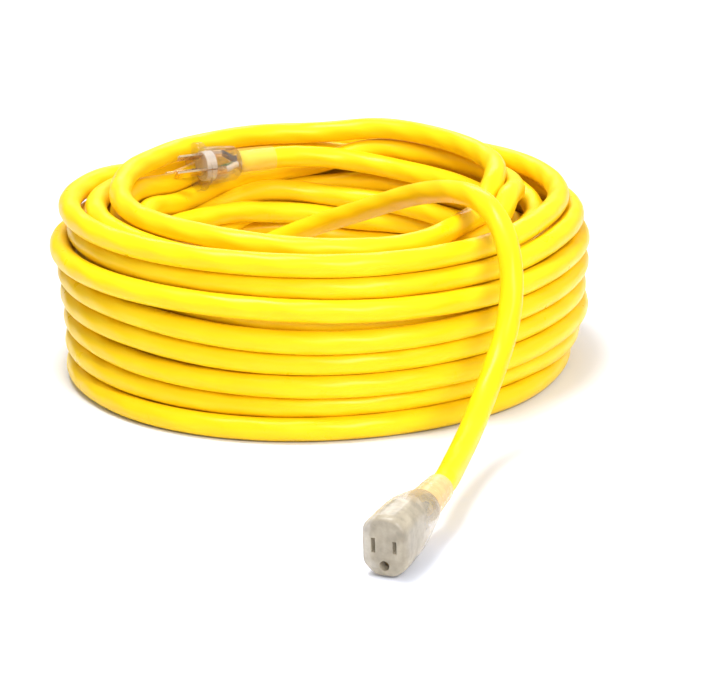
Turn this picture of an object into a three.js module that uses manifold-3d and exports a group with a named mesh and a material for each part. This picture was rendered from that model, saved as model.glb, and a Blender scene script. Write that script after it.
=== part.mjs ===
// A 30 m (100 ft) outdoor extension cord lying in a round coil, with a clear moulded plug on top
// of the coil and a clear connector with a pilot lamp on the floor in front of it.
// Millimetres, +Z up. The origin is the middle of the coil's underside.

import * as THREE from 'three';
import { mergeVertices } from 'three/addons/utils/BufferGeometryUtils.js';
import Module from 'manifold-3d';

const wasm = await Module();
wasm.setup();

// ---------------------------------------------------------------- driving dimensions

const GAP = 0.3; // clearance between neighbouring pieces
const CORD_RADIUS = 7.5; // three 10 AWG conductors in a round jacket
const WIRE_RADIUS = 2.2; // one insulated conductor
const LAMP_LEAD_RADIUS = 0.4;

const COIL_OUTER_RADIUS = 183;
const COIL_INNER_RADIUS = 112;
const COIL_HEIGHT = 133;
const COIL_LEDGE_HEIGHT = 93; // the inner turns stop lower than the outer ones
const COIL_SEGMENTS = 64;

// 15 A three-pole blades, measured in the plane of the face
const BLADE_SPACING = 12.7;
const BLADE_THICKNESS = 1.5;
const BLADE_LENGTH = 17.8;
const LINE_BLADE_WIDTH = 6.35;
const NEUTRAL_BLADE_WIDTH = 7.9;
const GROUND_DROP = 11.9; // from the row of blades down to the ground pin
const GROUND_PIN_RADIUS = 2.4;
const GROUND_PIN_LENGTH = 21;

const CRIMP_RADIUS = 2.6;
const CRIMP_LENGTH = 7;
const TREFOIL_RADIUS = 2.75; // the three conductors' middles inside the jacket

const PLUG = {
  bladeRow: 4,
  width: 33,
  height: 29,
  corner: 11,
  flange: 7,
  length: 32.5,
  barrelRadius: 14,
  tailRadius: 12.4,
  chamberRadius: 11.2,
  chamberFront: 5,
  throatFront: 21.5,
  throatBack: 31,
  bridgeFront: 5.5,
  bridgeBack: 13,
  sleeve: 28,
  sleeveRadius: 10.2,
};

const CONNECTOR = {
  bladeRow: 0.8,
  width: 27.5,
  height: 36.5,
  chamfer: 5,
  block: 45,
  length: 58,
  tailRadius: 12,
  chamberWidth: 22,
  chamberHeight: 31,
  chamberChamfer: 4.5,
  chamberFront: 6,
  chamberBack: 31,
  tailChamberRadius: 11.4,
  throatFront: 41,
  throatBack: 54,
  sleeve: 26,
  sleeveRadius: 10.6,
};

const SLOT_WIDTH = 2.4;
const POCKET_WIDTH = 5.4;
const POCKET_HEIGHT = 9.2;
const GROUND_POCKET_RADIUS = 3.6;
const GROUND_TUBE_RADIUS = 3.2;
const GROUND_CRIMP_RISE = 3.4; // the ground crimp sits nearer the middle than its tube

const BORE_RADIUS = 6.8; // where the conductors leave a body for the cord
const SLEEVE_BORE = CORD_RADIUS + 0.45;
const SLEEVE_MOUTH = CORD_RADIUS + 1.4;
const FLANGE_BEVEL = 1.2;
const BLOCK_BEVEL = 1.4;

// The plug lies on the coil's inner ledge. The connector stands on the lower edge of its face,
// with its back end a little raised by the stiff lead.
const PLUG_FACE = new THREE.Vector3(-90.1, 89.4, 113.5);
const PLUG_HEADING = new THREE.Vector3(-0.89, -0.456, 0).normalize();
const PLUG_ROLL = THREE.MathUtils.degToRad(-50);
const CONNECTOR_FACE = new THREE.Vector3(33.4, -412, 18.3);
const CONNECTOR_HEADING = new THREE.Vector3(-0.398, -0.912, -0.087).normalize();

// Route of the plug's lead, from the plug's strain relief to where it joins the coil
const PLUG_LEAD_ROUTE = [
  [-10, 128.8, 112.2],
  [12, 133, 109.5],
  [35, 130.5, 106],
  [57, 121, 103.3],
  [77, 106, 102.4],
  [95, 86, 102.2],
  [109, 61, 102.2],
  [117, 37, 102.2],
];

// Route of the connector's lead: from the coil's inner wall up through the hollow, over the
// rim, down the outside and along the floor to the connector's strain relief
const CONNECTOR_LEAD_ROUTE = [
  [-101, -25, 18],
  [-103, 4, 24],
  [-98.5, 28, 31],
  [-87.5, 49, 40],
  [-67.5, 62, 50],
  [-44, 66, 61],
  [-20, 61, 73],
  [1, 47.5, 84.5],
  [19, 28, 95],
  [38, 2, 108],
  [56, -25, 121],
  [73, -56, 132],
  [89, -90, 140],
  [104, -123, 141.3],
  [115.5, -149, 127],
  [119, -165, 100.5],
  [116, -179, 78],
  [109, -194, 60.5],
  [100.3, -214, 44.6],
  [94.5, -231, 36.5],
  [88.5, -252, 30.3],
  [81.5, -277, 26.6],
  [75, -304, 24.7],
];

// ---------------------------------------------------------------- shape helpers

function toSolid(geometry) {
  const bare = geometry.clone();
  bare.deleteAttribute('normal');
  bare.deleteAttribute('uv');
  const merged = mergeVertices(bare, 1e-4);
  return new wasm.Manifold(
    new wasm.Mesh({
      numProp: 3,
      vertProperties: new Float32Array(merged.attributes.position.array),
      triVerts: new Uint32Array(merged.index.array),
    }),
  );
}

function toGeometry(solid) {
  const result = solid.getMesh();
  const geometry = new THREE.BufferGeometry();
  geometry.setAttribute('position', new THREE.BufferAttribute(result.vertProperties, 3));
  geometry.setIndex(new THREE.BufferAttribute(result.triVerts, 1));
  geometry.computeVertexNormals();
  return geometry;
}

function joined(first, ...others) {
  return toGeometry(others.reduce((sum, next) => sum.add(toSolid(next)), toSolid(first)));
}

function cut(base, ...tools) {
  return toGeometry(tools.reduce((rest, tool) => rest.subtract(toSolid(tool)), toSolid(base)));
}

// A block centred on (x, y), reaching from z = back to z = front
function block(width, height, back, front, x = 0, y = 0) {
  return new THREE.BoxGeometry(width, height, front - back)
    .translate(x, y, (front + back) / 2);
}

// A round bar along z
function bar(radius, back, front, x = 0, y = 0, sides = 20) {
  return new THREE.CylinderGeometry(radius, radius, front - back, sides)
    .rotateX(Math.PI / 2)
    .translate(x, y, (front + back) / 2);
}

// A body turned about z from a profile of [radius, z] pairs
function turned(profile, segments = 32) {
  const points = profile.map(([radius, z]) => new THREE.Vector2(radius, z));
  return new THREE.LatheGeometry(points, segments).rotateX(Math.PI / 2);
}

// A tube of the given radius that follows a smooth curve through the points
function tube(points, radius, sides, steps) {
  const path = new THREE.CatmullRomCurve3(points, false, 'centripetal');
  const section = new THREE.Shape();
  for (let side = 0; side < sides; side += 1) {
    const angle = (side / sides) * Math.PI * 2;
    const x = radius * Math.cos(angle);
    const y = radius * Math.sin(angle);
    if (side === 0) section.moveTo(x, y);
    else section.lineTo(x, y);
  }
  return new THREE.ExtrudeGeometry(section, { steps, bevelEnabled: false, extrudePath: path });
}

function material(color, roughness, metalness = 0, opacity = 1) {
  return new THREE.MeshStandardMaterial({
    color,
    roughness,
    metalness,
    opacity,
    transparent: opacity < 1,
  });
}

const MATERIALS = {
  jacket: material('#f7dc05', 0.4),
  clear: material('#cfc3ae', 0.15, 0, 0.5),
  amberClear: material('#ecd27a', 0.2, 0, 0.6),
  brass: material('#c39a55', 0.3, 0.9),
  whitePlastic: material('#efece4', 0.45),
  black: material('#1b1b1d', 0.45),
  white: material('#f2f0ea', 0.45),
  green: material('#1f8f57', 0.45),
  lampGlass: material('#d96a3a', 0.2),
  resistor: material('#c9b183', 0.5),
  tinned: material('#b9b8b2', 0.3, 0.9),
};

function part(parent, name, geometry, surface) {
  const mesh = new THREE.Mesh(geometry, surface);
  mesh.name = name;
  parent.add(mesh);
  return mesh;
}

// ---------------------------------------------------------------- the coil and its two leads

function coilGeometry() {
  const top = COIL_HEIGHT;
  const ledge = COIL_LEDGE_HEIGHT;
  const outer = COIL_OUTER_RADIUS;
  const inner = COIL_INNER_RADIUS;
  const profile = [
    [inner + 10, 0],
    [outer - 13, 0],
    [outer - 5, 5],
    [outer - 2, 28],
    [outer, 60],
    [outer - 2, 92],
    [outer - 9, 116],
    [outer - 18, 130],
    [outer - 24, top],
    [outer - 28, top - 2],
    [outer - 33, top - 11],
    [outer - 36, top - 23],
    [outer - 40, ledge + 5],
    [outer - 49, ledge],
    [inner + 16, ledge - 1],
    [inner + 7, ledge - 6],
    [inner, ledge - 14],
    [inner, 8],
    [inner + 3, 2],
    [inner + 10, 0],
  ];
  return turned(profile, COIL_SEGMENTS);
}

function vectors(route) {
  return route.map(([x, y, z]) => new THREE.Vector3(x, y, z));
}

// Points in a strain relief and just behind it, where the cord is held straight
function insideSleeve(face, heading, bodyLength, sleeve) {
  const start = bodyLength + GAP;
  return [start, start + sleeve / 2, start + sleeve, start + sleeve + 7]
    .map((distance) => face.clone().addScaledVector(heading, -distance));
}

function plugLeadGeometry() {
  const held = insideSleeve(PLUG_FACE, PLUG_HEADING, PLUG.length, PLUG.sleeve);
  return tube([...held, ...vectors(PLUG_LEAD_ROUTE)], CORD_RADIUS, 10, 16);
}

function connectorLeadGeometry() {
  const held = insideSleeve(
    CONNECTOR_FACE, CONNECTOR_HEADING, CONNECTOR.length, CONNECTOR.sleeve);
  const points = [...vectors(CONNECTOR_LEAD_ROUTE), ...held.reverse()];
  return tube(points, CORD_RADIUS, 10, 48);
}

// ---------------------------------------------------------------- pieces both ends share

// Poles in a face's own frame: x across the blades, y up, z out of the face.
// The plug mirrors the connector, so the line and neutral sides change over.
function poles(side, bladeRow) {
  return {
    line: { x: -side * BLADE_SPACING / 2, y: bladeRow },
    neutral: { x: side * BLADE_SPACING / 2, y: bladeRow },
    ground: { x: 0, y: bladeRow - GROUND_DROP },
  };
}

// The room behind a face: a round chamber that narrows to the conductors' way out at the back
function throat(radius, front, body) {
  return turned([
    [0, -body.length - 1],
    [BORE_RADIUS, -body.length - 1],
    [BORE_RADIUS, -body.throatBack],
    [radius, -body.throatFront],
    [radius, front],
    [0, front],
  ], 28);
}

// Where a conductor lies in the cord: ground below, line and neutral above it to either side
function trefoilAngle(pole) {
  const degrees = pole.x === 0 ? -90 : 90 - 60 * Math.sign(pole.x);
  return THREE.MathUtils.degToRad(degrees);
}

// A conductor from the back of its crimp to its place in the cord's trefoil
function wireGeometry(pole, crimpBack, bodyLength) {
  const angle = trefoilAngle(pole);
  const end = new THREE.Vector3(
    TREFOIL_RADIUS * Math.cos(angle), TREFOIL_RADIUS * Math.sin(angle), -bodyLength);
  const start = new THREE.Vector3(pole.x, pole.y, crimpBack - GAP);
  const reach = (start.z - end.z) / 3;
  return tube([
    start,
    start.clone().add(new THREE.Vector3(0, 0, -reach * 0.35)),
    end.clone().add(new THREE.Vector3(0, 0, reach * 0.5)),
    end,
  ], WIRE_RADIUS, 10, 10);
}

// A tapered, grooved sleeve behind a body, bored for the cord
function sleeveGeometry(body, grooves) {
  const rootRadius = body.sleeveRadius;
  const length = body.sleeve;
  const front = -body.length - GAP;
  const outline = [[rootRadius, front]];
  for (let groove = 1; groove <= grooves; groove += 1) {
    const middle = groove / (grooves + 1);
    const radius = THREE.MathUtils.lerp(rootRadius, SLEEVE_MOUTH, middle);
    const z = front - length * middle;
    outline.push([radius, z + 1.5], [radius - 0.6, z + 0.8], [radius - 0.6, z - 0.8],
      [radius - 0.1, z - 1.5]);
  }
  outline.push([SLEEVE_MOUTH, front - length]);
  outline.push([SLEEVE_BORE, front - length], [SLEEVE_BORE, front], [rootRadius, front]);
  return turned(outline.reverse(), 28);
}

// Stands a group on its face: z along the heading, y upwards, then rolled about z
function faceFrame(face, heading, roll) {
  const up = new THREE.Vector3(0, 0, 1);
  const across = new THREE.Vector3().crossVectors(up, heading).normalize();
  const lift = new THREE.Vector3().crossVectors(heading, across);
  const outer = new THREE.Group();
  outer.position.copy(face);
  outer.setRotationFromMatrix(new THREE.Matrix4().makeBasis(across, lift, heading));
  const rolled = new THREE.Group();
  rolled.rotation.z = roll;
  outer.add(rolled);
  return { outer, rolled };
}

// ---------------------------------------------------------------- the plug

function roundedOutline(width, height, corner) {
  const x = width / 2;
  const y = height / 2;
  const shape = new THREE.Shape();
  shape.moveTo(-x + corner, -y);
  shape.lineTo(x - corner, -y);
  shape.absarc(x - corner, -y + corner, corner, -Math.PI / 2, 0);
  shape.lineTo(x, y - corner);
  shape.absarc(x - corner, y - corner, corner, 0, Math.PI / 2);
  shape.lineTo(-x + corner, y);
  shape.absarc(-x + corner, y - corner, corner, Math.PI / 2, Math.PI);
  shape.lineTo(-x, -y + corner);
  shape.absarc(-x + corner, -y + corner, corner, Math.PI, Math.PI * 1.5);
  return shape;
}

// An extruded outline from z = back to z = 0, its rims broken by a small bevel
function bevelledBlock(shape, back, bevel) {
  return new THREE.ExtrudeGeometry(shape, {
    depth: -back - 2 * bevel,
    bevelThickness: bevel,
    bevelSize: bevel,
    bevelOffset: -bevel,
    bevelSegments: 2,
    curveSegments: 6,
  }).translate(0, 0, back + bevel);
}

function plugBodyGeometry(pole) {
  const outline = roundedOutline(PLUG.width, PLUG.height, PLUG.corner);
  const flange = bevelledBlock(outline, -PLUG.flange, FLANGE_BEVEL);
  const barrel = turned([
    [0, -PLUG.length],
    [PLUG.tailRadius - 2, -PLUG.length],
    [PLUG.tailRadius, -PLUG.length + 2.5],
    [PLUG.barrelRadius - 0.4, -PLUG.flange - 9],
    [PLUG.barrelRadius, -PLUG.flange + 2],
    [0, -PLUG.flange + 2],
  ]);
  return cut(
    joined(flange, barrel),
    throat(PLUG.chamberRadius, -PLUG.chamberFront, PLUG),
    block(BLADE_THICKNESS + 2 * GAP, LINE_BLADE_WIDTH + 2 * GAP, -PLUG.chamberFront - 1, 1,
      pole.line.x, pole.line.y),
    block(BLADE_THICKNESS + 2 * GAP, NEUTRAL_BLADE_WIDTH + 2 * GAP, -PLUG.chamberFront - 1, 1,
      pole.neutral.x, pole.neutral.y),
    bar(GROUND_PIN_RADIUS + GAP + 0.1, -PLUG.chamberFront - 1, 1, pole.ground.x, pole.ground.y),
  );
}

function plugBridgeGeometry(pole) {
  const disc = bar(PLUG.chamberRadius - 2 * GAP, -PLUG.bridgeBack, -PLUG.bridgeFront, 0, 0, 28);
  const through = [-PLUG.bridgeBack - 1, -PLUG.bridgeFront + 1];
  return cut(
    disc,
    block(BLADE_THICKNESS + 2 * GAP, LINE_BLADE_WIDTH + 2 * GAP, ...through,
      pole.line.x, pole.line.y),
    block(BLADE_THICKNESS + 2 * GAP, NEUTRAL_BLADE_WIDTH + 2 * GAP, ...through,
      pole.neutral.x, pole.neutral.y),
    bar(GROUND_PIN_RADIUS + GAP + 0.1, ...through, pole.ground.x, pole.ground.y),
  );
}

// A flat blade with a rounded tip and, behind the bridge, the crimp for its conductor
function bladeGeometry(pole, width, crimpFront) {
  const half = width / 2;
  const tip = new THREE.Shape();
  tip.moveTo(crimpFront, -half);
  tip.lineTo(BLADE_LENGTH - 2, -half);
  tip.quadraticCurveTo(BLADE_LENGTH, -half, BLADE_LENGTH, -half + 2);
  tip.lineTo(BLADE_LENGTH, half - 2);
  tip.quadraticCurveTo(BLADE_LENGTH, half, BLADE_LENGTH - 2, half);
  tip.lineTo(crimpFront, half);
  const plate = new THREE.ExtrudeGeometry(tip, {
    depth: BLADE_THICKNESS,
    bevelEnabled: false,
    curveSegments: 4,
  })
    .translate(0, 0, -BLADE_THICKNESS / 2)
    .rotateY(-Math.PI / 2)
    .translate(pole.x, pole.y, 0);
  const crimp = bar(CRIMP_RADIUS, crimpFront - CRIMP_LENGTH, crimpFront + 0.5, pole.x, pole.y, 16);
  return joined(plate, crimp);
}

function groundPinGeometry(pole, crimpFront) {
  const pin = turned([
    [0, crimpFront],
    [GROUND_PIN_RADIUS, crimpFront],
    [GROUND_PIN_RADIUS, GROUND_PIN_LENGTH - 2.2],
    [GROUND_PIN_RADIUS * 0.75, GROUND_PIN_LENGTH - 0.7],
    [0, GROUND_PIN_LENGTH],
  ], 20).translate(pole.x, pole.y, 0);
  const crimp = bar(CRIMP_RADIUS, crimpFront - CRIMP_LENGTH, crimpFront + 0.5, pole.x, pole.y, 16);
  return joined(pin, crimp);
}

function buildPlug() {
  const { outer, rolled } = faceFrame(PLUG_FACE, PLUG_HEADING, PLUG_ROLL);
  const pole = poles(1, PLUG.bladeRow);
  const crimpFront = -PLUG.bridgeBack - GAP - 0.5;
  const crimpBack = crimpFront - CRIMP_LENGTH;
  part(rolled, 'plug_body', plugBodyGeometry(pole), MATERIALS.clear);
  part(rolled, 'plug_strain_relief', sleeveGeometry(PLUG, 3), MATERIALS.amberClear);
  part(rolled, 'plug_blade_bridge', plugBridgeGeometry(pole), MATERIALS.whitePlastic);
  part(rolled, 'plug_line_blade',
    bladeGeometry(pole.line, LINE_BLADE_WIDTH, crimpFront), MATERIALS.brass);
  part(rolled, 'plug_neutral_blade',
    bladeGeometry(pole.neutral, NEUTRAL_BLADE_WIDTH, crimpFront), MATERIALS.brass);
  part(rolled, 'plug_ground_pin', groundPinGeometry(pole.ground, crimpFront), MATERIALS.brass);
  const insulation = {
    line: MATERIALS.black,
    neutral: MATERIALS.white,
    ground: MATERIALS.green,
  };
  for (const [name, surface] of Object.entries(insulation)) {
    part(rolled, `plug_${name}_wire`, wireGeometry(pole[name], crimpBack, PLUG.length), surface);
  }
  return outer;
}

// ---------------------------------------------------------------- the connector

function chamferedOutline(width, height, chamfer) {
  const x = width / 2;
  const y = height / 2;
  return new THREE.Shape([
    new THREE.Vector2(-x + chamfer, -y),
    new THREE.Vector2(x - chamfer, -y),
    new THREE.Vector2(x, -y + chamfer),
    new THREE.Vector2(x, y - chamfer),
    new THREE.Vector2(x - chamfer, y),
    new THREE.Vector2(-x + chamfer, y),
    new THREE.Vector2(-x, y - chamfer),
    new THREE.Vector2(-x, -y + chamfer),
  ]);
}

function connectorBodyGeometry(pole) {
  const outline = chamferedOutline(CONNECTOR.width, CONNECTOR.height, CONNECTOR.chamfer);
  const front = bevelledBlock(outline, -CONNECTOR.block, BLOCK_BEVEL);
  const waist = CONNECTOR.width / 2 - 0.3;
  const tail = turned([
    [0, -CONNECTOR.length],
    [CONNECTOR.tailRadius - 1.5, -CONNECTOR.length],
    [CONNECTOR.tailRadius, -CONNECTOR.length + 2],
    [waist, -CONNECTOR.block - 2],
    [waist, -CONNECTOR.block + 3],
    [0, -CONNECTOR.block + 3],
  ]);
  const mouth = [-CONNECTOR.chamberFront - 1, 1];
  return cut(
    joined(front, tail),
    chamberBlock(0, -CONNECTOR.chamberBack, -CONNECTOR.chamberFront),
    throat(CONNECTOR.tailChamberRadius, -CONNECTOR.chamberBack + 1, CONNECTOR),
    block(SLOT_WIDTH, LINE_BLADE_WIDTH + 1, ...mouth, pole.line.x, pole.line.y),
    block(SLOT_WIDTH, NEUTRAL_BLADE_WIDTH + 1, ...mouth, pole.neutral.x, pole.neutral.y),
    bar(GROUND_PIN_RADIUS + 0.6, ...mouth, pole.ground.x, pole.ground.y),
  );
}

// The room for the contact carrier, or the carrier itself with a gap all round
function chamberBlock(gap, back, front) {
  const outline = chamferedOutline(
    CONNECTOR.chamberWidth - 2 * gap, CONNECTOR.chamberHeight - 2 * gap,
    CONNECTOR.chamberChamfer);
  return new THREE.ExtrudeGeometry(outline, { depth: front - back, bevelEnabled: false })
    .translate(0, 0, back);
}

// The block that holds the three contacts, with a pocket through it for each
function contactCarrierGeometry(pole) {
  const front = -CONNECTOR.chamberFront - GAP;
  const back = -CONNECTOR.chamberBack + GAP;
  const pocket = [POCKET_WIDTH, POCKET_HEIGHT, back - 1, front + 1];
  return cut(
    chamberBlock(GAP, back, front),
    block(...pocket, pole.line.x, pole.line.y),
    block(...pocket, pole.neutral.x, pole.neutral.y),
    bar(GROUND_POCKET_RADIUS, back - 1, front + 1, pole.ground.x, pole.ground.y, 24),
  );
}

// Two spring leaves that grip a blade, a web that joins them, and the crimp behind
function bladeContactGeometry(pole, height) {
  const front = -CONNECTOR.chamberFront - 1.5;
  const webBack = -CONNECTOR.chamberBack + 2;
  const webFront = webBack + 2;
  const crimpFront = -CONNECTOR.chamberBack - 0.5;
  const leaf = 0.8;
  const grip = BLADE_THICKNESS + 0.1;
  const offset = (grip + leaf) / 2;
  return joined(
    block(grip + 2 * leaf, height, webBack, webFront, pole.x, pole.y),
    block(leaf, height, webFront - 0.5, front, pole.x - offset, pole.y),
    block(leaf, height, webFront - 0.5, front, pole.x + offset, pole.y),
    block(2, 3, crimpFront - 1, webBack + 0.5, pole.x, pole.y),
    bar(CRIMP_RADIUS, crimpFront - CRIMP_LENGTH, crimpFront, pole.x, pole.y, 16),
  );
}

// A sprung tube that grips the ground pin, with the crimp behind and nearer the middle
function groundContactGeometry(pole, crimp) {
  const front = -CONNECTOR.chamberFront - 1.5;
  const floor = -CONNECTOR.chamberBack + 4;
  const crimpFront = -CONNECTOR.chamberBack - 0.5;
  return cut(
    joined(
      bar(GROUND_TUBE_RADIUS, floor - 2, front, pole.x, pole.y, 20),
      block(2, 2, crimpFront - 1, floor - 1, pole.x, pole.y + 1.8),
      bar(CRIMP_RADIUS, crimpFront - CRIMP_LENGTH, crimpFront, crimp.x, crimp.y, 16),
    ),
    bar(GROUND_PIN_RADIUS + 0.1, floor, front + 1, pole.x, pole.y, 20),
  );
}

// The pilot lamp, its resistor and the three bare leads that put them across line and neutral
function addPilotLamp(parent, pole) {
  const lampY = 8;
  const resistorY = 3;
  const front = -CONNECTOR.chamberBack - 2;
  const lamp = { radius: 1.9, back: front - 8 };
  const resistor = { radius: 1.2, back: front - 6 };
  const glass = turned([
    [0, lamp.back],
    [lamp.radius, lamp.back],
    [lamp.radius, front - 1.8],
    [lamp.radius * 0.7, front - 0.5],
    [0, front],
  ], 16).translate(0, lampY, 0);
  part(parent, 'indicator_lamp', glass, MATERIALS.lampGlass);
  part(parent, 'lamp_resistor',
    bar(resistor.radius, resistor.back, front, 0, resistorY, 12), MATERIALS.resistor);

  const leadEnd = -CONNECTOR.throatFront - 3;
  const lead = (points) => tube(points.map(([x, y, z]) => new THREE.Vector3(x, y, z)),
    LAMP_LEAD_RADIUS, 8, 8);
  part(parent, 'lamp_line_lead', lead([
    [0.9, lampY, lamp.back - GAP],
    [1.2, lampY + 0.3, lamp.back - 1.4],
    [1.8, lampY + 0.5, leadEnd + 0.8],
    [2.2, lampY + 0.4, leadEnd - 0.6],
  ]), MATERIALS.tinned);
  part(parent, 'lamp_link_lead', lead([
    [-0.9, lampY, lamp.back - GAP],
    [-0.9, lampY - 0.6, lamp.back - 1.2],
    [-0.5, resistorY + 1.2, lamp.back - 1.2],
    [0, resistorY, resistor.back - 1.2],
    [0, resistorY, resistor.back - GAP],
  ]), MATERIALS.tinned);
  part(parent, 'lamp_neutral_lead', lead([
    [0, resistorY, front + GAP],
    [0, resistorY, front + 0.9],
    [pole.neutral.x * 0.3, resistorY - 1.6, front + 1.2],
    [pole.neutral.x * 0.42, resistorY - 2.2, front - 1],
  ]), MATERIALS.tinned);
}

function buildConnector() {
  const { outer, rolled } = faceFrame(CONNECTOR_FACE, CONNECTOR_HEADING, 0);
  const pole = poles(-1, CONNECTOR.bladeRow);
  const crimpBack = -CONNECTOR.chamberBack - 0.5 - CRIMP_LENGTH;
  const crimps = {
    ...pole,
    ground: { x: pole.ground.x, y: pole.ground.y + GROUND_CRIMP_RISE },
  };
  part(rolled, 'connector_body', connectorBodyGeometry(pole), MATERIALS.clear);
  part(rolled, 'connector_strain_relief', sleeveGeometry(CONNECTOR, 3), MATERIALS.amberClear);
  part(rolled, 'contact_carrier', contactCarrierGeometry(pole), MATERIALS.whitePlastic);
  part(rolled, 'line_contact', bladeContactGeometry(pole.line, 6.6), MATERIALS.brass);
  part(rolled, 'neutral_contact', bladeContactGeometry(pole.neutral, 8), MATERIALS.brass);
  part(rolled, 'ground_contact',
    groundContactGeometry(pole.ground, crimps.ground), MATERIALS.brass);
  const insulation = {
    line: MATERIALS.black,
    neutral: MATERIALS.white,
    ground: MATERIALS.green,
  };
  for (const [name, surface] of Object.entries(insulation)) {
    part(rolled, `connector_${name}_wire`,
      wireGeometry(crimps[name], crimpBack, CONNECTOR.length), surface);
  }
  addPilotLamp(rolled, pole);
  return outer;
}

// ---------------------------------------------------------------- the whole cord

const extensionCord = new THREE.Group();
part(extensionCord, 'cord_coil', coilGeometry(), MATERIALS.jacket);
part(extensionCord, 'plug_lead', plugLeadGeometry(), MATERIALS.jacket);
part(extensionCord, 'connector_lead', connectorLeadGeometry(), MATERIALS.jacket);
extensionCord.add(buildPlug(), buildConnector());

export default extensionCord;
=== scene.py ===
"""A 30 m outdoor extension cord lying in a round coil, with its clear plug and clear connector.

One continuous strand runs from the connector, over the coil's rim, through all the coil's
turns and along the inner wall to the plug. Metres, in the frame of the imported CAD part.
"""

import math

import bpy
import numpy as np
from mathutils import Matrix, Vector


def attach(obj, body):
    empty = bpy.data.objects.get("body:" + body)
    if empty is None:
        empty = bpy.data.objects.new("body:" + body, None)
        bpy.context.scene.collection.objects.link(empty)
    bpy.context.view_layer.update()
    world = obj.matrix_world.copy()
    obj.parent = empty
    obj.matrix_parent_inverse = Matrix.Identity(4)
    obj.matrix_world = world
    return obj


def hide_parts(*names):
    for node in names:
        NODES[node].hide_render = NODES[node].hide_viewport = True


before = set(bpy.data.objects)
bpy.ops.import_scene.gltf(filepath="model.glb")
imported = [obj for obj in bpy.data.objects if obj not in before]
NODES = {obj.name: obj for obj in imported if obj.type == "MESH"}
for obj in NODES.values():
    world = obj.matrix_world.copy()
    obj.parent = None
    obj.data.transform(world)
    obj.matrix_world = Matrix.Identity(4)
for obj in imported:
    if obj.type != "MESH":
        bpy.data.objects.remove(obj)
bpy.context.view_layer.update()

# ---------------------------------------------------------------- driving dimensions

CORD_DIAMETER = 0.015
CORD_RADIUS = CORD_DIAMETER / 2
MILLIMETRE = 0.001

PLUG_FACE = Vector((-0.0901, 0.0894, 0.1135))
PLUG_HEADING = Vector((-0.89, -0.456, 0)).normalized()
PLUG_LENGTH = 0.0325
PLUG_SLEEVE = 0.028
CONNECTOR_FACE = Vector((0.0334, -0.412, 0.0183))
CONNECTOR_HEADING = Vector((-0.398, -0.912, -0.087)).normalized()
CONNECTOR_LENGTH = 0.058
CONNECTOR_SLEEVE = 0.026
GAP = 0.0003

# Routes of the two leads, in millimetres, as the part has them
PLUG_LEAD_ROUTE = [
    (-10, 128.8, 112.2), (12, 133, 109.5), (35, 130.5, 106), (57, 121, 103.3),
    (77, 106, 102.4), (95, 86, 102.2), (109, 61, 102.2), (117, 37, 102.2),
]
CONNECTOR_LEAD_ROUTE = [
    (-101, -25, 18), (-103, 4, 24), (-98.5, 28, 31), (-87.5, 49, 40), (-67.5, 62, 50),
    (-44, 66, 61), (-20, 61, 73), (1, 47.5, 84.5), (19, 28, 95), (38, 2, 108),
    (56, -25, 121), (73, -56, 132), (89, -90, 140), (104, -123, 141.3), (115.5, -149, 127),
    (119, -165, 100.5), (116, -179, 78), (109, -194, 60.5), (100.3, -214, 44.6),
    (94.5, -231, 36.5), (88.5, -252, 30.3), (81.5, -277, 26.6), (75, -304, 24.7),
]

# ---------------------------------------------------------------- camera, floor and light

CAMERA_DISTANCE = 2.013
CAMERA_ELEVATION = math.radians(15.5)
COIL_MIDDLE = Vector((0, 0, 0.0665))
CAMERA_AIM = Vector((0.0194, 0, 0.0123))
CAMERA_LENS = 151.4
CAMERA_SENSOR = 36
FAR_CLIP = 50

FLOOR_SIZE = 12.0
FLOOR_DROP = 0.0004  # keeps the floor from flickering through what lies on it
FLOOR_COLOR = (0.80, 0.82, 0.90, 1)

BRIGHT_SIDE = Vector((0.5, -0.5, 0.7)).normalized()
WORLD_STRENGTH = (0.1, 0.75)  # away from the bright side and towards it
COIL_AIM = (0, 0, 0.05)
# Name, place, what it points at, width in metres and power in watts
LIGHTS = [
    ("overhead", (-0.3, -0.15, 1.9), COIL_AIM, 0.8, 35),
    ("front", (1.0, -2.2, 1.7), COIL_AIM, 1.1, 43),
    ("far_floor", (0, 3.2, 2.0), (0, 3.2, 0), 2.0, 40),
]


def add_camera():
    """Looks at the coil from the side where the connector lies, a little from above."""
    data = bpy.data.cameras.new("camera")
    data.lens = CAMERA_LENS
    data.sensor_width = CAMERA_SENSOR
    data.clip_end = FAR_CLIP
    camera = bpy.data.objects.new("camera", data)
    back = Vector((0, -math.cos(CAMERA_ELEVATION), math.sin(CAMERA_ELEVATION)))
    camera.location = COIL_MIDDLE + back * CAMERA_DISTANCE
    aim = CAMERA_AIM - camera.location
    camera.rotation_euler = aim.to_track_quat("-Z", "Y").to_euler()
    bpy.context.scene.collection.objects.link(camera)
    bpy.context.scene.camera = camera


def add_floor():
    size = FLOOR_SIZE
    mesh = bpy.data.meshes.new("floor")
    corners = [(-size, -size, 0), (size, -size, 0), (size, size, 0), (-size, size, 0)]
    mesh.from_pydata(corners, [], [(0, 1, 2, 3)])
    floor = bpy.data.objects.new("floor", mesh)
    floor.location.z = -FLOOR_DROP
    bpy.context.scene.collection.objects.link(floor)
    material = bpy.data.materials.new("floor")
    material.use_nodes = True
    shader = material.node_tree.nodes["Principled BSDF"]
    shader.inputs["Base Color"].default_value = FLOOR_COLOR
    shader.inputs["Roughness"].default_value = 0.9
    shader.inputs["Specular IOR Level"].default_value = 0.1
    mesh.materials.append(material)


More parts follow.
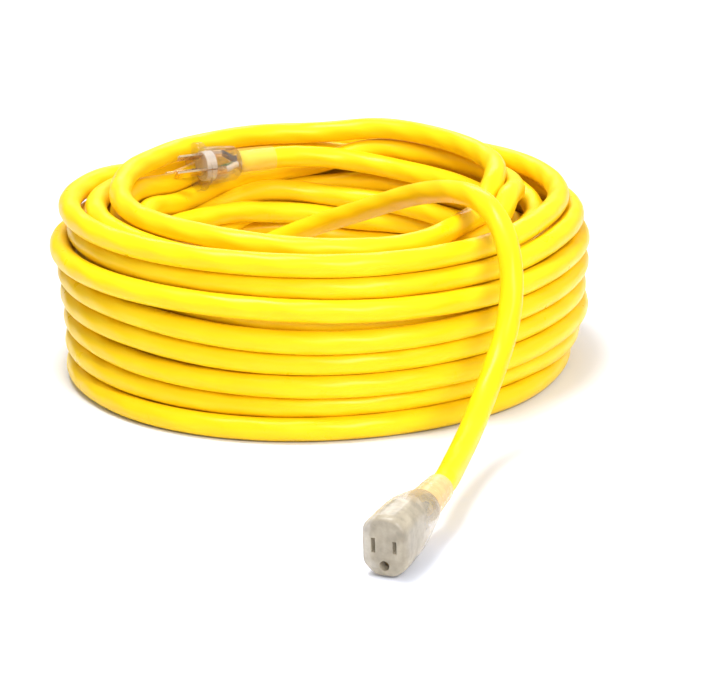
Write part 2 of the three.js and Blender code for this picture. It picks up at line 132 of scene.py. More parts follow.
def add_area_light(name, place, aim, size, power):
    data = bpy.data.lights.new(name, "AREA")
    data.shape = "DISK"
    data.size = size
    data.energy = power
    light = bpy.data.objects.new(name, data)
    light.location = place
    direction = Vector(aim) - light.location
    light.rotation_euler = direction.to_track_quat("-Z", "Y").to_euler()
    bpy.context.scene.collection.objects.link(light)


def add_world():
    """A white studio that is darker towards the left and the back than overhead and in front."""
    world = bpy.data.worlds.new("studio")
    world.use_nodes = True
    nodes = world.node_tree.nodes
    links = world.node_tree.links
    direction = nodes.new("ShaderNodeTexCoord").outputs["Generated"]
    towards = nodes.new("ShaderNodeVectorMath")
    towards.operation = "DOT_PRODUCT"
    towards.inputs[1].default_value = BRIGHT_SIDE
    links.new(direction, towards.inputs[0])
    strength = nodes.new("ShaderNodeMapRange")
    for name, number in (("From Min", -0.7), ("From Max", 0.7),
                         ("To Min", WORLD_STRENGTH[0]), ("To Max", WORLD_STRENGTH[1])):
        strength.inputs[name].default_value = number
    links.new(towards.outputs["Value"], strength.inputs["Value"])
    background = nodes["Background"]
    background.inputs["Color"].default_value = (1, 1, 1, 1)
    links.new(strength.outputs["Result"], background.inputs["Strength"])
    bpy.context.scene.world = world


def add_lights():
    add_world()
    for light in LIGHTS:
        add_area_light(*light)


# ---------------------------------------------------------------- the strand's line

STEPS = 144  # places round one turn where the strands are laid out
TURN = 2 * math.pi
COIL_START = math.radians(194)  # where the connector's lead joins the lowest turn
COIL_END = math.radians(17.5)  # where the plug's lead leaves the last turn
LAYER_PITCH = 0.0146
RING_SPACING = 0.0062  # between the finished cord's rings of points
CORD_SIDES = 18

# Radii of the turns in each layer from the floor up, in the order in which they were wound.
# Four numbers are the radii at the right, back, left and front of a turn that isn't round.
LAYERS = [
    (121, 136, 151, (166, 168, 166, 172)),
    ((166, 176, 166, 167), 155, 140, 125),
    (133, 153, (173, 178, 167, 170)),
    ((173, 179, 169, 171), 157, 141, 126),
    (128, 143, 158, (175, 179, 170, 173)),
    ((175, 179, 176, 173), 160, 145, 130),
    (123, 138, 152, (171, 177, 164, 166)),
    ((160, 176, 169, 165), (145, 162, 152, 150), (131, 149, 137, 136), (116, 148, 122, 121)),
    ((118, 150, 135, 145),),
]
LEAD_START = (104, 18)  # radius and height where the connector's lead joins
LEAD_END = (122.7, 102.2)  # radius and height where the plug's lead leaves

# Where some turns begin, in degrees: the middle and half the width of the change to that turn
CHANGES = {4: (110, 50), -5: (60, 45), -4: (112, 45), -3: (110, 45), -2: (108, 45), -1: (30, 55)}

# The middle and half the width of the other changes are drawn between these, in degrees
SEED = 4
CHANGE_MIDDLES = (40, 140)
CHANGE_HALVES = (45, 70)

# How firmly a turn keeps its radius: a turn with four radii and a turn with one
FIRM = 0.4
SLACK = 0.03
FIRM_SWING = 0.0012
SLACK_SWING = 0.003
SWINGS_PER_TURN = 5

# How much farther apart than a diameter the turns lie, as a share of it
LOOSE_SIDE = math.radians(15)
LOOSENESS = 0.09
LEFT_LOOSENESS = 0.10
INNER_LOOSENESS = (0.0, 0.16)  # of the inner turns, at the back and at the front
OVALNESS = 0.045  # the coil is longer along one direction
OVAL_TURN = math.radians(45)

# Settling: in each round the turns sink, straighten and push each other apart
SETTLING_ROUNDS = 500
SINKING = 0.00012
LAST_SINKING = 0.00003
TURN_PUSH = 0.42
PLUG_PUSH = 0.8
LEAD_IN = 0.28  # turns over which the coil takes over from the connector's lead
LEAD_OUT = 0.2  # and over which the plug's lead takes over from it
FAR_AWAY = (9, 9)  # radius and height of the points past the coil's end, clear of the turns

# The space that the plug takes: distance behind its face and radius
PLUG_DISCS = [
    (-0.017, 0.009), (-0.008, 0.009), (0, 0.0168), (0.007, 0.0168),
    (0.016, 0.0148), (0.026, 0.0135), (0.036, 0.0112), (0.066, 0.009),
]
RAMP = math.radians(25)  # how gently the turns close up past the plug's blades

# The leads and how they join the coil
SLEEVE_START = 0.003  # where the cord starts inside a strain relief
PAST_MOUTH = 0.007  # how far it stays straight outside
SAMPLES_PER_STRETCH = 12
HELD_POINTS = 8  # points inside each strain relief, which stay straight
JOIN_REACH = 16  # points on each side of a join that are smoothed with it
JOIN_PASSES = 40
LAST_PASSES = 10


def ease(t):
    """Rises smoothly from 0 to 1 as t does."""
    t = np.clip(t, 0, 1)
    return t * t * t * (t * (6 * t - 15) + 10)


def straightened(line):
    """Each point but the first and last, moved halfway to the middle of its neighbours."""
    return 0.5 * line[1:-1] + 0.25 * (line[:-2] + line[2:])


def wander(random, count, knots):
    """A slow random curve of that many values, about 0, from a uniform cubic B-spline."""
    weights = random.normal(0, 1, knots + 4)
    place = np.arange(count) / count * knots
    knot = np.floor(place).astype(int)
    past = place - knot
    return (
        weights[knot] * (1 - past) ** 3
        + weights[knot + 1] * (3 * past**3 - 6 * past**2 + 4)
        + weights[knot + 2] * (-3 * past**3 + 3 * past**2 + 3 * past + 1)
        + weights[knot + 3] * past**3
    ) / 6


def coil_slots():
    """Every turn's four radii and height in metres, and how firmly it keeps its radius."""
    slots = []
    for level, radii in enumerate(LAYERS):
        height = CORD_RADIUS + LAYER_PITCH * level
        for radius in radii:
            shaped = isinstance(radius, tuple)
            around = np.ones(4) * radius * MILLIMETRE
            slots.append((*around, height, FIRM if shaped else SLACK))
    return np.array(slots)


def radius_at(slot, angle):
    """A smooth radius that passes through the slot's right, back, left and front values."""
    right, back, left, front = slot[:4]
    return (
        slot[:4].mean()
        + (right - left) / 2 * np.cos(angle)
        + (back - front) / 2 * np.sin(angle)
        + (right + left - back - front) / 4 * np.cos(2 * angle)
    )


def wanted_line(slots):
    """Where each turn would lie if nothing pushed it: its slot, with changes at the back."""
    random = np.random.default_rng(SEED)
    turns = len(slots)
    count = turns * STEPS
    angle = COIL_START + np.arange(count) * TURN / STEPS
    middle = random.uniform(*CHANGE_MIDDLES, turns)
    half = random.uniform(*CHANGE_HALVES, turns)
    for turn, (place, width) in CHANGES.items():
        middle[turn - 1] = place
        half[turn - 1] = width
    line = np.stack([radius_at(slots[0], angle), np.full(count, slots[0][4])], 1)
    firm = np.full(count, slots[0][5])
    for turn in range(turns - 1):
        after = (math.radians(middle[turn]) - COIL_START) % TURN
        centre = COIL_START + TURN * turn + after
        share = ease((angle - centre) / (2 * math.radians(half[turn])) + 0.5)
        step = radius_at(slots[turn + 1], angle) - radius_at(slots[turn], angle)
        line[:, 0] += share * step
        line[:, 1] += share * (slots[turn + 1][4] - slots[turn][4])
        firm += share * (slots[turn + 1][5] - slots[turn][5])
    swing = np.interp(firm, [SLACK, FIRM], [SLACK_SWING, FIRM_SWING])
    line[:, 0] += wander(random, count, turns * SWINGS_PER_TURN) * swing
    return angle, line, firm


def step_angles():
    return COIL_START + np.arange(STEPS) * TURN / STEPS


def obstacles():
    """The plug and its lead, as discs (radius from the axis, height, size) at each step."""
    points = []
    for distance, size in PLUG_DISCS:
        points.append((*(PLUG_FACE - PLUG_HEADING * distance), size))
    for place in PLUG_LEAD_ROUTE:
        points.append((*(value * MILLIMETRE for value in place), CORD_RADIUS))
    points = np.array(points)
    around = np.arctan2(points[:, 1], points[:, 0])
    order = np.argsort(around)
    around, points = around[order], points[order]
    radius = np.hypot(points[:, 0], points[:, 1])
    steps = (step_angles() + math.pi) % TURN - math.pi
    past = np.maximum(steps - around[-1], 0) / RAMP
    return np.stack([
        np.interp(steps, around, radius),
        np.interp(steps, around, points[:, 2]),
        np.interp(steps, around, points[:, 3], left=-CORD_RADIUS) - past * 2 * CORD_RADIUS,
    ], 1)


def room_between(firm, turns):
    """How far apart each two turns have to lie, at every step round the coil."""
    steps = step_angles()
    loose = np.clip(np.cos(steps - LOOSE_SIDE), 0, 1) ** 1.5 * LOOSENESS
    loose += np.clip(-np.cos(steps), 0, 1) ** 1.5 * LEFT_LOOSENESS
    front = np.clip(-np.sin(steps), 0, 1)
    inner_loose = INNER_LOOSENESS[0] + (INNER_LOOSENESS[1] - INNER_LOOSENESS[0]) * front
    slack = ((FIRM - firm) / (FIRM - SLACK)).reshape(turns, STEPS).T
    both_slack = slack[:, :, None] * slack[:, None, :]
    return CORD_DIAMETER * (1 + loose[:, None, None] + inner_loose[:, None, None] * both_slack)


def relax(line, firm, turns):
    """Lets the turns settle on the floor and on each other without passing through."""
    discs = obstacles()
    start = np.array(LEAD_START) * MILLIMETRE
    end = np.array(LEAD_END) * MILLIMETRE
    wanted = line.copy()
    blend_in = 1 - ease(np.arange(len(line)) / (LEAD_IN * STEPS))
    wanted += blend_in[:, None] * (start - wanted)
    last = int(round((turns - 1) * STEPS + (COIL_END - COIL_START) % TURN / TURN * STEPS))
    blend_out = ease((np.arange(len(line)) - last + LEAD_OUT * STEPS) / (LEAD_OUT * STEPS))
    wanted += blend_out[:, None] * (end - wanted)
    hold = np.clip(blend_in + blend_out, 0, 1)[:, None]
    gone = np.arange(len(line)) > last + 4
    line = wanted.copy()
    others = ~np.eye(turns, dtype=bool)
    room = room_between(firm, turns)
    for step in range(SETTLING_ROUNDS):
        settling = step < SETTLING_ROUNDS * 0.8
        line[:, 1] -= SINKING if settling else LAST_SINKING
        line[:, 0] += firm * (wanted[:, 0] - line[:, 0])
        for _ in range(2 if step < SETTLING_ROUNDS * 0.9 else 1):
            line[1:-1] = straightened(line)
        line += hold * (wanted - line)
        line[gone] = FAR_AWAY
        for _ in range(2):
            across = line.reshape(turns, STEPS, 2).transpose(1, 0, 2)
            apart = across[:, :, None, :] - across[:, None, :, :]
            distance = np.sqrt((apart**2).sum(-1)) + 1e-9
            overlap = np.maximum(room - distance, 0) * others
            push = (apart / distance[..., None] * overlap[..., None]).sum(2)
            away = across - discs[:, None, :2]
            distance = np.sqrt((away**2).sum(-1)) + 1e-9
            overlap = np.maximum(discs[:, None, 2] + CORD_RADIUS - distance, 0)
            push = push * TURN_PUSH + away / distance[..., None] * overlap[..., None] * PLUG_PUSH
            moved = (across + push).transpose(1, 0, 2).reshape(-1, 2)
            line = moved * (1 - hold) + line * hold
            line[:, 1] = np.maximum(line[:, 1], CORD_RADIUS)
    return line[:last + 1]


def coil_points():
    """The settled coil's centreline, from the connector's lead to the plug's lead."""
    slots = coil_slots()
    angle, line, firm = wanted_line(slots)
    line = relax(line, firm, len(slots))
    angle = angle[:len(line)]
    radius, height = line.T
    oval = 1 + OVALNESS * np.cos(2 * (angle - OVAL_TURN))
    half_turn = STEPS // 2
    share = np.ones(len(line))
    share[:half_turn] = ease(np.arange(half_turn) / half_turn)
    share[-half_turn:] = ease(1 - np.arange(half_turn) / half_turn)
    radius = radius * (1 + (oval - 1) * share)
    return np.stack([radius * np.cos(angle), radius * np.sin(angle), height], 1)


def smooth_route(points):
    """A centripetal Catmull-Rom curve through the points, finely sampled."""
    points = np.array(points, float)
    points = np.vstack([2 * points[0] - points[1], points, 2 * points[-1] - points[-2]])
    result = []
    for i in range(1, len(points) - 2):
        p0, p1, p2, p3 = points[i - 1:i + 3]
        t0 = 0
        t1 = t0 + np.linalg.norm(p1 - p0) ** 0.5
        t2 = t1 + np.linalg.norm(p2 - p1) ** 0.5
        t3 = t2 + np.linalg.norm(p3 - p2) ** 0.5
        for t in np.linspace(t1, t2, SAMPLES_PER_STRETCH, endpoint=False):
            a1 = (t1 - t) / (t1 - t0) * p0 + (t - t0) / (t1 - t0) * p1
            a2 = (t2 - t) / (t2 - t1) * p1 + (t - t1) / (t2 - t1) * p2
            a3 = (t3 - t) / (t3 - t2) * p2 + (t - t2) / (t3 - t2) * p3
            b1 = (t2 - t) / (t2 - t0) * a1 + (t - t0) / (t2 - t0) * a2
            b2 = (t3 - t) / (t3 - t1) * a2 + (t - t1) / (t3 - t1) * a3
            result.append((t2 - t) / (t2 - t1) * b1 + (t - t1) / (t2 - t1) * b2)
    result.append(points[-2])
    return np.array(result)


def evenly(points, spacing):
    """The same line with points at even steps along it."""
    lengths = np.linalg.norm(np.diff(points, axis=0), axis=1)
    along = np.concatenate([[0], np.cumsum(lengths)])
    count = int(round(along[-1] / spacing)) + 1
    wanted = np.linspace(0, along[-1], count)
    return np.stack([np.interp(wanted, along, points[:, axis]) for axis in range(3)], 1)


def inside_sleeve(face, heading, body_length, sleeve):
    """Points along the strain relief of a plug or connector, from its body outwards."""
    start = body_length + GAP + SLEEVE_START
    mouth = body_length + GAP + sleeve
    distances = (start, (start + mouth) / 2, mouth, mouth + PAST_MOUTH)
    return [np.array(face - heading * distance) for distance in distances]


def strand_line():
    """The whole cord's centreline, from the plug to the connector."""
    plug_end = inside_sleeve(PLUG_FACE, PLUG_HEADING, PLUG_LENGTH, PLUG_SLEEVE)
    plug_lead = [np.array(place) * MILLIMETRE for place in PLUG_LEAD_ROUTE]
    connector_end = inside_sleeve(
        CONNECTOR_FACE, CONNECTOR_HEADING, CONNECTOR_LENGTH, CONNECTOR_SLEEVE)
    connector_lead = [np.array(place) * MILLIMETRE for place in CONNECTOR_LEAD_ROUTE]
    first = smooth_route(plug_end + plug_lead)
    coil = coil_points()[::-1]
    last = smooth_route(connector_lead + connector_end[::-1])
    line = evenly(np.vstack([first, coil[1:-1], last]), RING_SPACING)
    near = np.zeros(len(line))
    for join in (first[-1], last[0]):
        away = np.linalg.norm(line - join, axis=1)
        nearest = int(away.argmin())
        index = np.abs(np.arange(len(line)) - nearest)
        near = np.maximum(near, 1 - np.clip(index / JOIN_REACH, 0, 1))
    for _ in range(JOIN_PASSES):
        line[1:-1] += near[1:-1, None] * (straightened(line) - line[1:-1])
    for _ in range(LAST_PASSES):
        line[HELD_POINTS:-HELD_POINTS] = straightened(line)[HELD_POINTS - 1:1 - HELD_POINTS]
    return line


def twist_free_frame(line):
    """Two directions square to the line at each of its points, carried along without twist."""
    tangent = np.gradient(line, axis=0)
    tangent /= np.linalg.norm(tangent, axis=1)[:, None]
    across = np.zeros_like(line)
    across[0] = np.cross(tangent[0], (0, 0, 1))
    across[0] /= np.linalg.norm(across[0])
    for i in range(1, len(line)):
        side = across[i - 1] - tangent[i] * (across[i - 1] @ tangent[i])
        across[i] = side / np.linalg.norm(side)
    return across, np.cross(across, tangent)


def add_length_uv(mesh, line, sides):
    """u is the distance along the line in metres, and v goes once round it."""
    along = np.concatenate([[0], np.cumsum(np.linalg.norm(np.diff(line, axis=0), axis=1))])
    layer = mesh.uv_layers.new(name="length")
    uv = np.zeros((len(mesh.loops), 2))
    u = np.stack([along[:-1], along[:-1], along[1:], along[1:]], 1)
    u = np.repeat(u[:, None, :], sides, 1)
    side = np.arange(sides)
    v = np.stack([side, side + 1, side + 1, side], 1) / sides
    v = np.repeat(v[None, :, :], len(line) - 1, 0)
    quad_uv = np.stack([u, v], -1).reshape(-1, 2)
    uv[:len(quad_uv)] = quad_uv
    layer.data.foreach_set("uv", uv.ravel())


def tube_mesh(name, line, radius, sides):
    """A closed round tube along a line."""
    across, upward = twist_free_frame(line)
    turn = np.arange(sides) * TURN / sides
    ring = (np.cos(turn)[None, :, None] * across[:, None, :]
            + np.sin(turn)[None, :, None] * upward[:, None, :])
    places = (line[:, None, :] + radius * ring).reshape(-1, 3)
    start = np.arange(len(line) - 1)[:, None] * sides
    side = np.arange(sides)[None, :]
    after = (side + 1) % sides
    end = start + sides
    quads = np.stack([start + side, start + after, end + after, end + side], -1)
    faces = quads.reshape(-1, 4).tolist()
    faces.append(list(range(sides))[::-1])
    faces.append(list(range((len(line) - 1) * sides, len(line) * sides)))
    mesh = bpy.data.meshes.new(name)
    mesh.from_pydata(places.tolist(), [], faces)
    add_length_uv(mesh, line, sides)
    mesh.polygons.foreach_set("use_smooth", [True] * len(mesh.polygons))
    mesh.update()
    return mesh


# ---------------------------------------------------------------- materials

CONDUCTORS = 3
CONDUCTOR_LAY = 0.11  # length of cord in which the conductors wind round once
CLOUDY_TO = 0.012  # how far behind its face the connector's vinyl is at its cloudiest
CLEAR_FROM = 0.045  # and where it is clearest
CLEAR_ALPHA = 0.46
CLOUDY_ALPHA = 0.64
RESISTOR_BACK = 0.039  # its far end, behind the connector's face
RESISTOR_LENGTH = 0.006


class Surface:
    """A material under construction: its node tree, its shader and what feeds them."""

    def __init__(self, name, color, roughness, metallic=0.0):
        self.material = bpy.data.materials.new(name)
        self.material.use_nodes = True
        self.nodes = self.material.node_tree.nodes
        self.links = self.material.node_tree.links
        self.shader = self.nodes["Principled BSDF"]
        self.set("Base Color", (*color, 1))
        self.set("Roughness", roughness)
        self.set("Metallic", metallic)
        self.place = self.nodes.new("ShaderNodeTexCoord").outputs["Object"]

    def set(self, socket, value):
        self.shader.inputs[socket].default_value = value

    def stretched(self, scale, turn=(0, 0, 0)):
        """Object coordinates, turned and then scaled differently along each axis."""
        mapping = self.nodes.new("ShaderNodeMapping")
        mapping.inputs["Rotation"].default_value = turn
        mapping.inputs["Scale"].default_value = scale
        self.links.new(self.place, mapping.inputs["Vector"])
        return mapping.outputs["Vector"]

    def noise(self, scale, detail=3.0, place=None):
        node = self.nodes.new("ShaderNodeTexNoise")
        node.inputs["Scale"].default_value = scale
        node.inputs["Detail"].default_value = detail
        self.links.new(place or self.place, node.inputs["Vector"])
        return node.outputs["Fac"]

    def spread(self, value, low, high, start=0.3, end=0.7):
        """The value from start to end, carried to low to high."""
        node = self.nodes.new("ShaderNodeMapRange")
        for name, number in (("From Min", start), ("From Max", end),
                             ("To Min", low), ("To Max", high)):
            node.inputs[name].default_value = number
        self.links.new(value, node.inputs["Value"])
        return node.outputs["Result"]

    def blend(self, value, *colors):
        """A colour ramp over the value, with the colours at even steps."""
        node = self.nodes.new("ShaderNodeValToRGB")
        elements = node.color_ramp.elements
        while len(elements) < len(colors):
            elements.new(0.5)
        for index, color in enumerate(colors):
            elements[index].position = 0.3 + 0.4 * index / (len(colors) - 1)
            elements[index].color = (*color, 1)
        self.links.new(value, node.inputs["Fac"])
        return node.outputs["Color"]

    def feed(self, socket, output):
        self.links.new(output, self.shader.inputs[socket])

    def bump(self, value, strength, distance):
        """Adds relief on top of any that the surface has already."""
        node = self.nodes.new("ShaderNodeBump")
        node.inputs["Strength"].default_value = strength
        node.inputs["Distance"].default_value = distance
        self.links.new(value, node.inputs["Height"])
        normal = self.shader.inputs["Normal"]
        if normal.is_linked:
            self.links.new(normal.links[0].from_socket, node.inputs["Normal"])
        self.links.new(node.outputs["Normal"], normal)


def jacket_material():
    """Glossy yellow vinyl: faint mottling, scuffs, fine grain and the lay of the conductors."""
    surface = Surface("yellow_vinyl", (0.94, 0.62, 0.006), 0.3)
    mottle = surface.noise(14, 4)
    surface.feed("Base Color", surface.blend(
        mottle, (0.92, 0.58, 0.004), (0.94, 0.62, 0.006), (0.95, 0.66, 0.010)))
    scuffs = surface.noise(70, 6)
    surface.feed("Roughness", surface.spread(scuffs, 0.27, 0.40))
    surface.set("Specular IOR Level", 0.17)
    surface.set("Coat Weight", 0.05)
    surface.set("Coat Roughness", 0.15)
    surface.bump(surface.noise(900, 3), 0.05, 0.0002)
    surface.bump(lay_of_conductors(surface), 0.5, 0.0004)
    return surface.material


def lay_of_conductors(surface):
    """Low ridges that wind round the jacket, one for each conductor."""
    lengths = surface.nodes.new("ShaderNodeUVMap")
    lengths.uv_map = "length"
    split = surface.nodes.new("ShaderNodeSeparateXYZ")
    surface.links.new(lengths.outputs["UV"], split.inputs["Vector"])
    along = surface.spread(split.outputs["X"], 0, TURN * CONDUCTORS / CONDUCTOR_LAY, 0, 1)
    around = surface.spread(split.outputs["Y"], 0, TURN * CONDUCTORS, 0, 1)
    for output in (along, around):
        output.node.clamp = False
    total = surface.nodes.new("ShaderNodeMath")
    surface.links.new(along, total.inputs[0])
    surface.links.new(around, total.inputs[1])
    wave = surface.nodes.new("ShaderNodeMath")
    wave.operation = "SINE"
    surface.links.new(total.outputs["Value"], wave.inputs[0])
    return wave.outputs["Value"]


def clear_material(name, color, transmission, alpha, roughness, cloudiness=0.88):
    """Clear moulded vinyl, a little cloudy, with flow ripples and fine scratches."""
    surface = Surface(name, color, roughness)
    surface.set("Transmission Weight", transmission)
    surface.set("Alpha", alpha)
    surface.set("IOR", 1.47)
    cloud = surface.noise(160, 4)
    darker = tuple(cloudiness * value for value in color)
    surface.feed("Base Color", surface.blend(cloud, darker, color))
    surface.feed("Roughness", surface.spread(surface.noise(350, 5), roughness * 0.7,
                                             roughness * 1.4))
    surface.bump(surface.noise(110, 2), 0.25, 0.0010)
    surface.bump(surface.noise(1500, 2), 0.04, 0.0001)
    return surface.material


def smoky_material():
    """The connector's warm grey vinyl, thick and cloudy at the face and clearer at the back."""
    material = clear_material("smoky_vinyl", (0.64, 0.56, 0.42), 0.0, 0.5, 0.14, 0.62)
    nodes = material.node_tree.nodes
    links = material.node_tree.links
    along = nodes.new("ShaderNodeVectorMath")
    along.operation = "DOT_PRODUCT"
    along.inputs[1].default_value = CONNECTOR_HEADING
    links.new(nodes["Texture Coordinate"].outputs["Object"], along.inputs[0])
    face = CONNECTOR_HEADING.dot(CONNECTOR_FACE)
    density = nodes.new("ShaderNodeMapRange")
    for name, number in (("From Min", face - CLEAR_FROM), ("From Max", face - CLOUDY_TO),
                         ("To Min", CLEAR_ALPHA), ("To Max", CLOUDY_ALPHA)):
        density.inputs[name].default_value = number
    links.new(along.outputs["Value"], density.inputs["Value"])
    links.new(density.outputs["Result"], nodes["Principled BSDF"].inputs["Alpha"])
    return material


def brass_material():
    """Stamped brass: rolling marks, handling tarnish and polished spots."""
    surface = Surface("brass", (0.84, 0.64, 0.36), 0.22, 1.0)
    tarnish = surface.noise(90, 4)
    surface.feed("Base Color", surface.blend(
        tarnish, (0.74, 0.50, 0.26), (0.86, 0.66, 0.38), (0.92, 0.76, 0.50)))
    surface.feed("Roughness", surface.spread(surface.noise(140, 3), 0.16, 0.32))
    lines = surface.stretched((1, 1, 0.08), (0, 0, math.atan2(-PLUG_HEADING.y, -PLUG_HEADING.x)))
    surface.bump(surface.noise(1800, 2, lines), 0.06, 0.0001)
    return surface.material


def plastic_material(name, color, roughness):
    """Opaque moulded plastic or wire insulation with a fine grain."""
    surface = Surface(name, color, roughness)
    darker = tuple(0.78 * value for value in color)
    surface.feed("Base Color", surface.blend(surface.noise(220, 4), darker, color))
    surface.feed("Roughness", surface.spread(surface.noise(500, 3), roughness * 0.75,
                                             roughness * 1.3))
    surface.bump(surface.noise(900, 3), 0.25, 0.0002)
    return surface.material


def lamp_material():
    """The neon lamp's glass, orange where the gas shows, with lighter and darker orange patches
    at random.
    """
    surface = Surface("lamp_glass", (0.95, 0.38, 0.12), 0.06)
    surface.set("Transmission Weight", 0.6)
    surface.set("IOR", 1.5)
    surface.feed("Base Color", surface.blend(
        surface.noise(500, 2), (0.92, 0.26, 0.06), (0.98, 0.55, 0.30)))
    surface.bump(surface.noise(700, 2), 0.15, 0.0003)
    return surface.material


def resistor_material():
    """A tan body with coloured bands across it."""
    surface = Surface("resistor", (0.60, 0.44, 0.24), 0.4)
    heading = surface.nodes.new("ShaderNodeVectorMath")
    heading.operation = "DOT_PRODUCT"
    heading.inputs[1].default_value = CONNECTOR_HEADING
    surface.links.new(surface.place, heading.inputs[0])
    low = CONNECTOR_HEADING.dot(CONNECTOR_FACE) - RESISTOR_BACK
    along = surface.spread(heading.outputs["Value"], 0, 1, low, low + RESISTOR_LENGTH)
    bands = surface.nodes.new("ShaderNodeValToRGB")
    bands.color_ramp.interpolation = "CONSTANT"
    tan = (0.60, 0.44, 0.24)
    stripes = (tan, (0.25, 0.08, 0.02), tan, (0.02, 0.02, 0.02), tan, (0.8, 0.5, 0.02), tan)
    elements = bands.color_ramp.elements
    while len(elements) < len(stripes):
        elements.new(0.5)
    for index, color in enumerate(stripes):
        elements[index].position = index / len(stripes)
        elements[index].color = (*color, 1)
    surface.links.new(along, bands.inputs["Fac"])
    surface.feed("Base Color", bands.outputs["Color"])
    surface.feed("Roughness", surface.spread(surface.noise(600, 3), 0.3, 0.55))
    surface.bump(surface.noise(1200, 2), 0.2, 0.0001)
    return surface.material


def tinned_material():
    surface = Surface("tinned_wire", (0.72, 0.71, 0.68), 0.3, 1.0)
    surface.feed("Base Color", surface.blend(
        surface.noise(700, 4), (0.50, 0.49, 0.46), (0.80, 0.79, 0.76)))
    surface.feed("Roughness", surface.spread(surface.noise(900, 3), 0.2, 0.45))
    surface.bump(surface.noise(2000, 2), 0.3, 0.0001)
    return surface.material


def dress_pieces():
    """Gives every CAD node that stays in view its own finish."""
    brass = brass_material()
    white = plastic_material("ivory_plastic", (0.80, 0.78, 0.71), 0.35)
    tinned = tinned_material()
    finishes = {
        "plug_body": clear_material("clear_vinyl", (0.60, 0.43, 0.34), 0.7, 0.28, 0.05, 0.6),
        "plug_strain_relief": clear_material("clear_sleeve", (0.98, 0.86, 0.36), 0.3, 0.17, 0.10),
        "connector_strain_relief": clear_material(
            "peach_sleeve", (0.95, 0.72, 0.38), 0.2, 0.55, 0.2),
        "plug_blade_bridge": white,
        "contact_carrier": plastic_material("taupe_plastic", (0.20, 0.165, 0.11), 0.4),
        "plug_line_blade": brass,
        "plug_neutral_blade": brass,
        "plug_ground_pin": brass,
        "line_contact": brass,
        "neutral_contact": brass,
        "ground_contact": brass,
        "indicator_lamp": lamp_material(),
        "lamp_resistor": resistor_material(),
        "lamp_line_lead": tinned,
        "lamp_link_lead": tinned,
        "lamp_neutral_lead": tinned,
    }
    colors = {"line": (0.012, 0.012, 0.014), "neutral": (0.85, 0.84, 0.80),
              "ground": (0.01, 0.30, 0.12)}
    for role, color in colors.items():
        insulation = plastic_material(f"{role}_insulation", color, 0.35)
        finishes[f"plug_{role}_wire"] = insulation
        finishes[f"connector_{role}_wire"] = insulation
    for name, material in finishes.items():
        node = NODES[name]
        node.data.materials.clear()
        node.data.materials.append(material)


# ---------------------------------------------------------------- the connector's moulded shell

OUTLINE_POINTS = 96
# From the face back, in millimetres: distance, width, height, chamfer and how round it is
SHELL_SECTIONS = [
    (0, 22.8, 31.6, 6.0, 0), (0.25, 24.4, 33.2, 6.3, 0), (0.9, 25.8, 34.6, 6.6, 0),
    (2.0, 26.8, 35.7, 6.9, 0), (3.6, 27.4, 36.4, 7.0, 0), (6, 27.5, 36.5, 7.0, 0),
    (20, 27.4, 36.2, 7.2, 0), (28, 27.4, 35.6, 7.4, 0), (34, 27.3, 34.4, 7.8, 0.1),
    (39, 27.1, 32.6, 8.2, 0.3), (43.5, 26.8, 30.4, 8.4, 0.6), (47.5, 26.3, 28.2, 8.4, 0.85),
    (51, 25.6, 26.4, 8, 1), (54, 24.6, 24.8, 8, 1), (56.3, 23.2, 23.2, 8, 1),
    (57.6, 21.4, 21.4, 8, 1), (58, 19.6, 19.6, 8, 1),
]
CAVITY_SECTIONS = [
    (6, 22, 31, 4.5, 0), (30.8, 22, 31, 4.5, 0), (33.5, 22.4, 26.5, 6, 0.6),
    (36, 22.8, 23, 7, 1), (41, 22, 22, 7, 1), (54, 13.6, 13.6, 5, 1), (59, 13.6, 13.6, 5, 1),
]
CORNER_SHARPNESS = 18
SLOT_WIDTH = 0.0024
BLADE_SPACING = 0.0127
BLADE_ROW = 0.0008
GROUND_DROP = 0.0119
GROUND_HOLE = 0.003
SLOT_HEIGHTS = {1: 0.00735, -1: 0.0089}  # line to one side and neutral to the other
SLOT_DEPTH = 0.007
CUT_CLEARANCE = 0.001  # how far a cutter stands out of the face
HOLE_SIDES = 32
SHARP_ANGLE = math.radians(40)


def octagon_ring(distance, width, height, chamfer, roundness):
    """One section of the shell: an octagon with soft corners, or a circle, or between them."""
    angle = np.arange(OUTLINE_POINTS) * TURN / OUTLINE_POINTS
    across, up = np.abs(np.cos(angle)), np.abs(np.sin(angle))
    cut = (width + height) / 2 - chamfer
    power = CORNER_SHARPNESS
    sides = (across * 2 / width) ** power + (up * 2 / height) ** power
    octagon = (sides + ((across + up) / cut) ** power) ** (-1 / power)
    oval = ((across * 2 / width) ** 2 + (up * 2 / height) ** 2) ** -0.5
    reach = octagon + roundness * (oval - octagon)
    ring = np.stack([reach * np.cos(angle), reach * np.sin(angle),
                     np.full(OUTLINE_POINTS, -distance)], 1)
    return ring * MILLIMETRE


def lofted(name, rings):
    """A closed mesh through rings of equally many points, with flat ends."""
    sides = len(rings[0])
    faces = [list(range(sides))]
    for level in range(len(rings) - 1):
        here = level * sides
        there = here + sides
        for side in range(sides):
            after = (side + 1) % sides
            faces.append([here + side, there + side, there + after, here + after])
    faces.append([(len(rings) - 1) * sides + side for side in reversed(range(sides))])
    mesh = bpy.data.meshes.new(name)
    mesh.from_pydata(np.concatenate(rings).tolist(), [], faces)
    mesh.update()
    return mesh


def prism(name, outline, back, front):
    """A closed bar with that outline, as rings of points."""
    rings = [np.array([(x, y, z) for x, y in outline]) for z in (front, back)]
    return lofted(name, rings)


def face_matrix(face, heading):
    """The frame of the connector's face: z out of the face and y upwards."""
    across = Vector((0, 0, 1)).cross(heading).normalized()
    up = heading.cross(across)
    frame_axes = Matrix((across, up, heading)).transposed().to_4x4()
    return Matrix.Translation(face) @ frame_axes


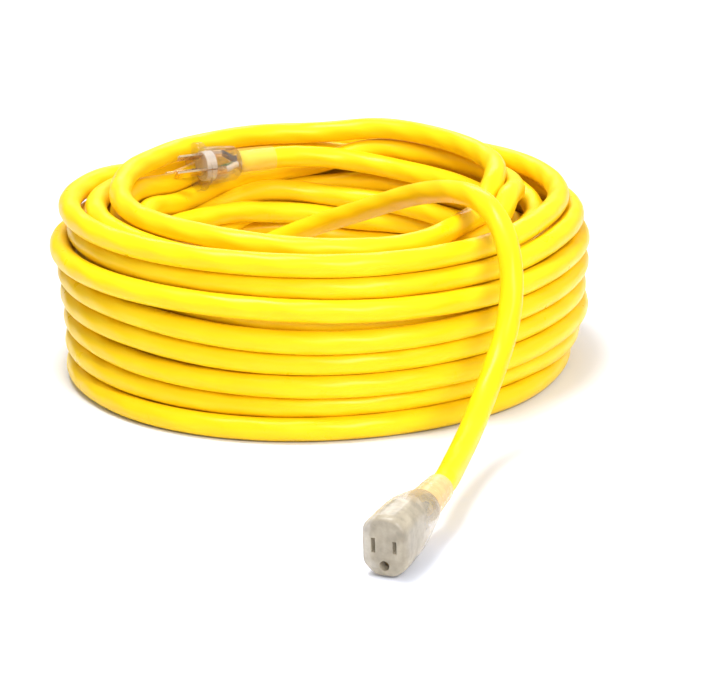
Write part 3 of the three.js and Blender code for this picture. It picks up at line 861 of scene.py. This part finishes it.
def cut_away(target, cutters):
    """Subtracts each cutter mesh from the target object, for good."""
    for number, mesh in enumerate(cutters):
        cutter = bpy.data.objects.new(f"cutter_{number}", mesh)
        bpy.context.scene.collection.objects.link(cutter)
        modifier = target.modifiers.new("cut", "BOOLEAN")
        modifier.operation = "DIFFERENCE"
        modifier.solver = "EXACT"
        modifier.object = cutter
        shaped = bpy.data.meshes.new_from_object(
            target.evaluated_get(bpy.context.evaluated_depsgraph_get()))
        target.modifiers.clear()
        target.data = shaped
        bpy.data.objects.remove(cutter)


def connector_shell():
    """The clear moulded body, hollow round its contacts, with its slots and ground hole."""
    shell = bpy.data.objects.new(
        "connector_shell", lofted("shell", [octagon_ring(*row) for row in SHELL_SECTIONS]))
    bpy.context.scene.collection.objects.link(shell)
    cutters = [lofted("cavity", [octagon_ring(*row) for row in CAVITY_SECTIONS])]
    for side, height in SLOT_HEIGHTS.items():
        middle = side * BLADE_SPACING / 2
        left, right = middle - SLOT_WIDTH / 2, middle + SLOT_WIDTH / 2
        top, bottom = BLADE_ROW + height / 2, BLADE_ROW - height / 2
        outline = [(right, top), (left, top), (left, bottom), (right, bottom)]
        cutters.append(prism("slot", outline, -SLOT_DEPTH, CUT_CLEARANCE))
    turn = np.arange(HOLE_SIDES) * TURN / HOLE_SIDES
    ground_y = BLADE_ROW - GROUND_DROP
    outline = [(GROUND_HOLE * math.cos(t), ground_y + GROUND_HOLE * math.sin(t)) for t in turn]
    cutters.append(prism("ground_hole", outline, -SLOT_DEPTH, CUT_CLEARANCE))
    cut_away(shell, cutters)
    shell.data.transform(face_matrix(CONNECTOR_FACE, CONNECTOR_HEADING))
    shell.data.polygons.foreach_set("use_smooth", [True] * len(shell.data.polygons))
    shell.data.set_sharp_from_angle(angle=SHARP_ANGLE)
    shell.data.materials.clear()
    shell.data.materials.append(smoky_material())
    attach(shell, "root")
    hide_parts("connector_body")
    return shell


# ---------------------------------------------------------------- the object

bpy.context.scene.view_settings.view_transform = "Standard"
add_camera()
add_floor()
add_lights()
dress_pieces()

centre_line = strand_line()
cord = bpy.data.objects.new("cord", tube_mesh("cord", centre_line, CORD_RADIUS, CORD_SIDES))
bpy.context.scene.collection.objects.link(cord)
cord.data.materials.append(jacket_material())
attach(cord, "root")
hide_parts("cord_coil", "plug_lead", "connector_lead")

replaced = ("cord_coil", "plug_lead", "connector_lead", "connector_body")
on_cord = [node for name, node in NODES.items() if name not in replaced]
on_cord.append(connector_shell())
